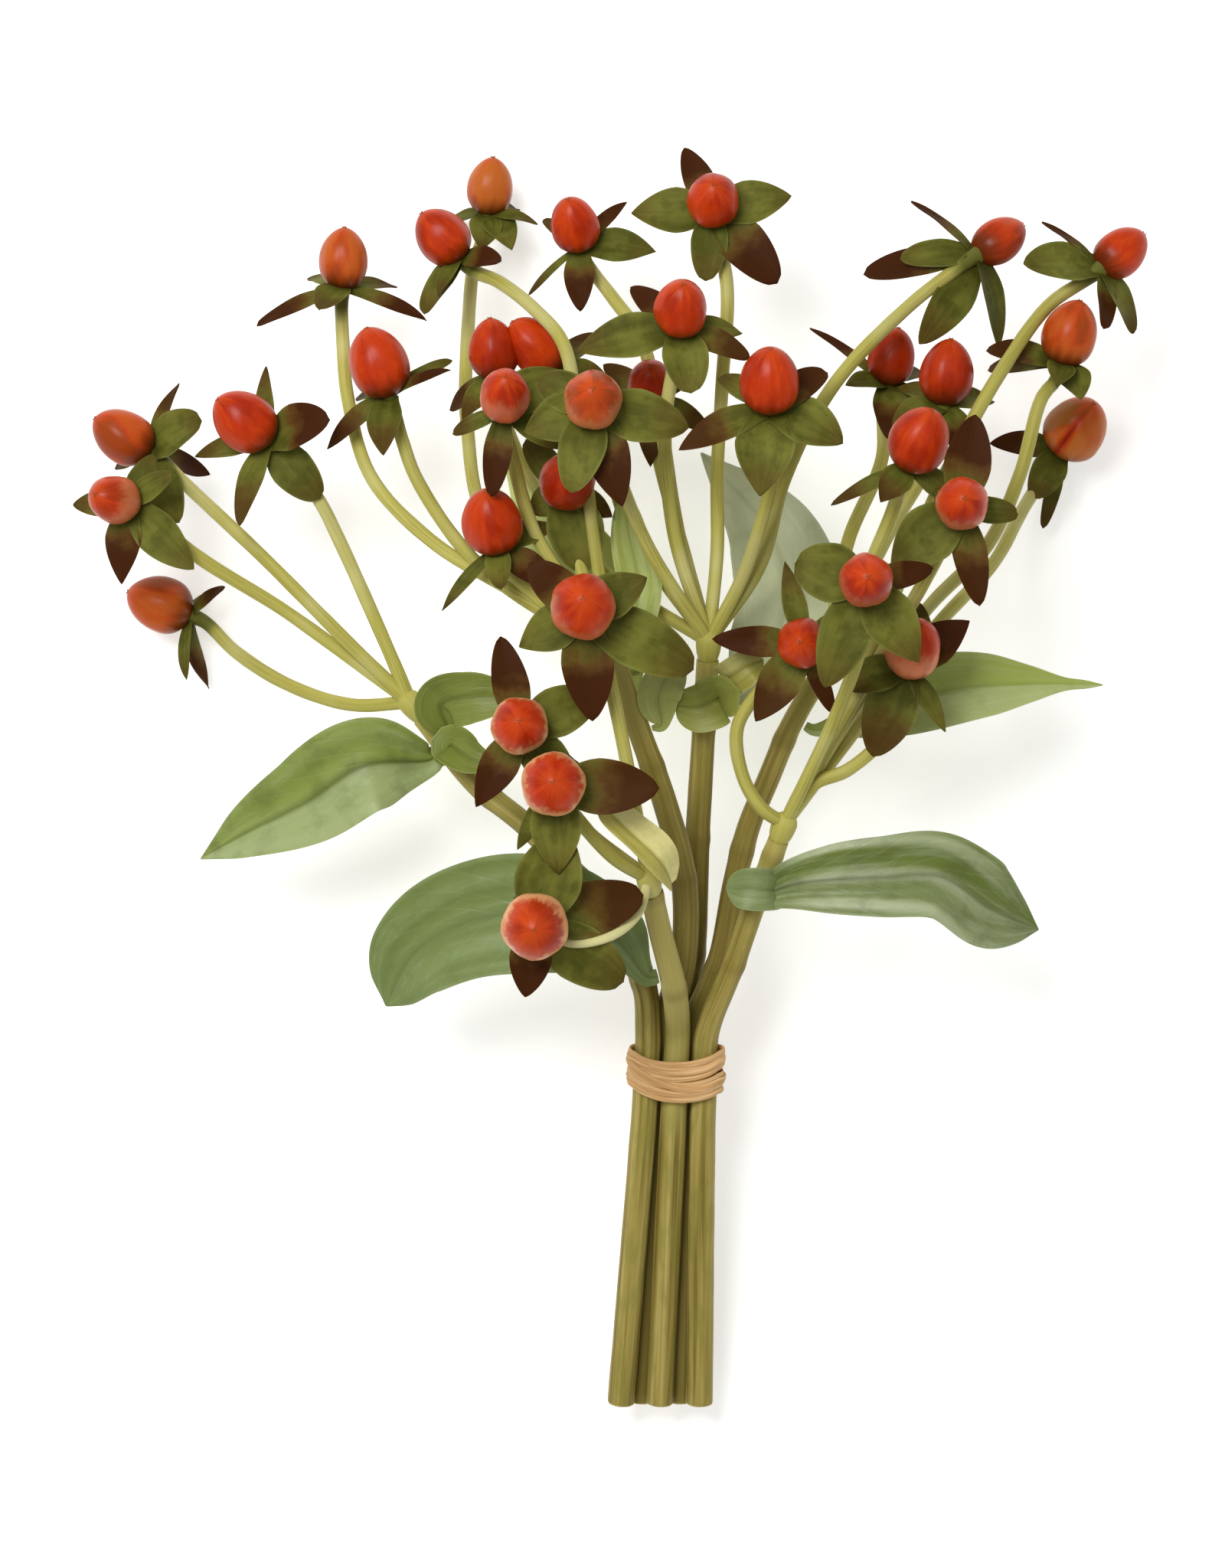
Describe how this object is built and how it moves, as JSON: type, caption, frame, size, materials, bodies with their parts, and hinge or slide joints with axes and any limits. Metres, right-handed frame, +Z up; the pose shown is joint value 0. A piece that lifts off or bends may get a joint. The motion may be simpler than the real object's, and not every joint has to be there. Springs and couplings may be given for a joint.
{
  "type": "bunch of hypericum berry stems",
  "caption": "Tied bunch of hypericum berry stems lying down, with orange-red berries in five-pointed sepals, long leaves, cut stems and a raffia band.",
  "frame": {"origin": "middle of the bunch's length and width, at the height of the surface that it lies on", "axes": "+Y from the cut ends towards the berries, +Z up from the surface, towards the side that shows best"},
  "size_m": [0.2277, 0.2711, 0.1035],
  "materials": {
    "stem": "satin",
    "berry": "satin",
    "sepal": "satin",
    "stalk": "satin",
    "leaf": "satin",
    "leaf_pale": "satin",
    "raffia": "matte"
  },
  "bodies": {
    "root": {"stem_left": "stem", "stem_front": "stem", "stem_right": "stem", "stem_upper_left": "stem", "stem_inner_right": "stem", "stem_centre": "stem", "spray_left": "berry", "spray_front": "berry", "spray_right": "berry", "spray_upper_left": "berry", "spray_inner_right": "berry", "spray_centre": "berry", "leaf_left": "leaf", "leaf_left_inner": "leaf", "leaf_left_upper": "leaf", "leaf_lower_left": "leaf", "leaf_folded": "leaf_pale", "leaf_right": "leaf", "leaf_lower_right": "leaf", "leaf_collar": "leaf", "leaf_back_right": "leaf", "leaf_back_left": "leaf", "leaf_lower_right_pair": "leaf", "leaf_collar_upper": "leaf_pale", "leaf_middle": "leaf", "leaf_centre_pale": "leaf_pale", "raffia_tie": "raffia"}
  },
  "joints": []
}
